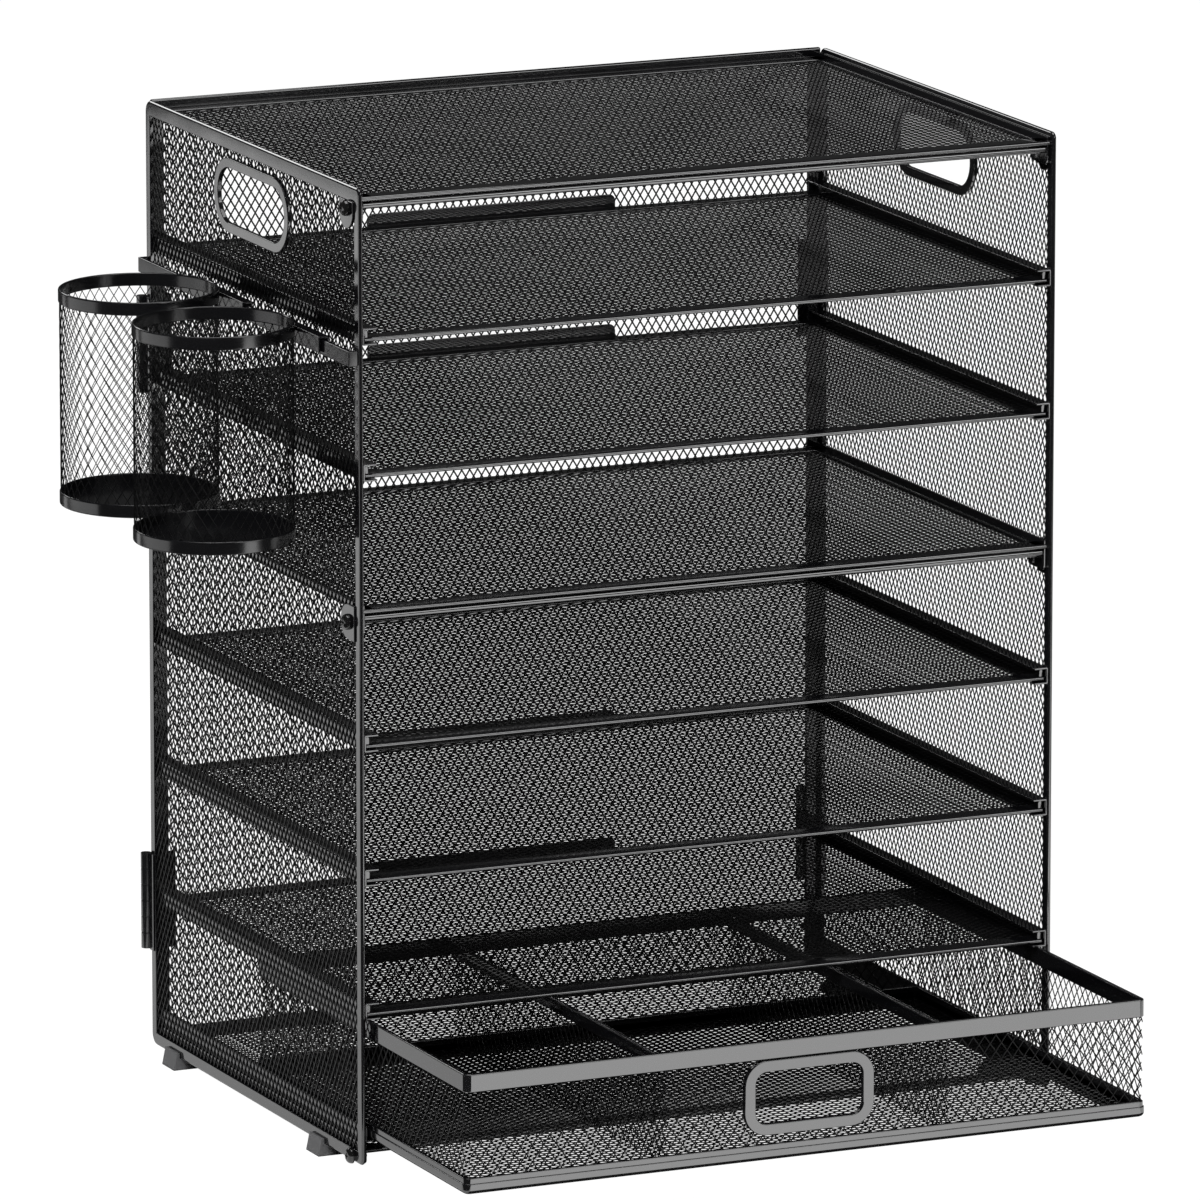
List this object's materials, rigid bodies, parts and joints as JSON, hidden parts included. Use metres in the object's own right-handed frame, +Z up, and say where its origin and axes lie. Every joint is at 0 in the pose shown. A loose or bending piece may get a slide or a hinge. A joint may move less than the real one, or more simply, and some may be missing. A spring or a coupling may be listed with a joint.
{
  "type": "paper tray organizer",
  "caption": "Black steel mesh desk organizer: sliding paper trays between screwed decks, a divided bottom drawer and round pen cups hung on a bar at one side",
  "frame": {"origin": "middle of the footprint, with the drawer as pictured, on the plane of the feet", "axes": "+X to the organizer's right, +Y to its rear, +Z up"},
  "size_m": [0.4092, 0.3452, 0.4333],
  "materials": {
    "frame_steel": "satin black powder coat",
    "mesh_steel": "satin black powder coat",
    "cup_steel": "gloss black powder coat",
    "screw_steel": "black zinc plating",
    "foot_plastic": "moulded dark grey plastic"
  },
  "bodies": {
    "cabinet": {"left_side_frame": "frame_steel", "left_side_mesh": "mesh_steel", "left_handle_ring": "frame_steel", "left_tray_rails": "frame_steel", "right_side_frame": "frame_steel", "right_side_mesh": "mesh_steel", "right_handle_ring": "frame_steel", "right_tray_rails": "frame_steel", "back_frame": "frame_steel", "back_mesh": "mesh_steel", "top_deck_frame": "frame_steel", "top_deck_mesh": "mesh_steel", "middle_deck_frame": "frame_steel", "middle_deck_mesh": "mesh_steel", "bottom_deck_frame": "frame_steel", "bottom_deck_mesh": "mesh_steel", "top_deck_tube": "frame_steel", "middle_deck_tube": "frame_steel", "screw_plates": "frame_steel", "deck_screws": "screw_steel", "deck_nuts": "screw_steel", "drawer_runners": "frame_steel", "hinge_side_leaves": "frame_steel", "hinge_back_leaves": "frame_steel", "hinge_pins": "frame_steel", "feet": "foot_plastic", "cup_bar": "frame_steel"},
    "tray_1": {"tray_1_frame": "frame_steel", "tray_1_mesh": "mesh_steel"},
    "tray_2": {"tray_2_frame": "frame_steel", "tray_2_mesh": "mesh_steel"},
    "tray_3": {"tray_3_frame": "frame_steel", "tray_3_mesh": "mesh_steel"},
    "tray_4": {"tray_4_frame": "frame_steel", "tray_4_mesh": "mesh_steel"},
    "tray_5": {"tray_5_frame": "frame_steel", "tray_5_mesh": "mesh_steel"},
    "drawer": {"drawer_rim": "frame_steel", "drawer_foot_band": "frame_steel", "drawer_base_mesh": "mesh_steel", "drawer_front_mesh": "mesh_steel", "drawer_back_mesh": "mesh_steel", "drawer_left_mesh": "mesh_steel", "drawer_right_mesh": "mesh_steel", "drawer_pull_ring": "frame_steel", "drawer_left_divider_rail": "frame_steel", "drawer_left_divider_mesh": "mesh_steel", "drawer_right_divider_rail": "frame_steel", "drawer_right_divider_mesh": "mesh_steel"},
    "front_cup": {"front_cup_rim": "cup_steel", "front_cup_wall": "mesh_steel", "front_cup_base": "cup_steel", "front_cup_hook": "cup_steel"},
    "rear_cup": {"rear_cup_rim": "cup_steel", "rear_cup_wall": "mesh_steel", "rear_cup_base": "cup_steel", "rear_cup_hook": "cup_steel"}
  },
  "joints": [
    {"name": "tray_1_slide", "type": "slide", "parent": "cabinet", "child": "tray_1", "axis": [0, -1, 0], "range_m": [0, 0.16]},
    {"name": "tray_2_slide", "type": "slide", "parent": "cabinet", "child": "tray_2", "axis": [0, -1, 0], "range_m": [0, 0.16]},
    {"name": "tray_3_slide", "type": "slide", "parent": "cabinet", "child": "tray_3", "axis": [0, -1, 0], "range_m": [0, 0.16]},
    {"name": "tray_4_slide", "type": "slide", "parent": "cabinet", "child": "tray_4", "axis": [0, -1, 0], "range_m": [0, 0.16]},
    {"name": "tray_5_slide", "type": "slide", "parent": "cabinet", "child": "tray_5", "axis": [0, -1, 0], "range_m": [0, 0.16]},
    {"name": "drawer_slide", "type": "slide", "parent": "cabinet", "child": "drawer", "axis": [0, -1, 0], "range_m": [-0.1005, 0.085]},
    {"name": "front_cup_lift", "type": "slide", "parent": "cabinet", "child": "front_cup", "axis": [0, 0, 1], "range_m": [0, 0.03]},
    {"name": "rear_cup_lift", "type": "slide", "parent": "cabinet", "child": "rear_cup", "axis": [0, 0, 1], "range_m": [0, 0.03]}
  ]
}
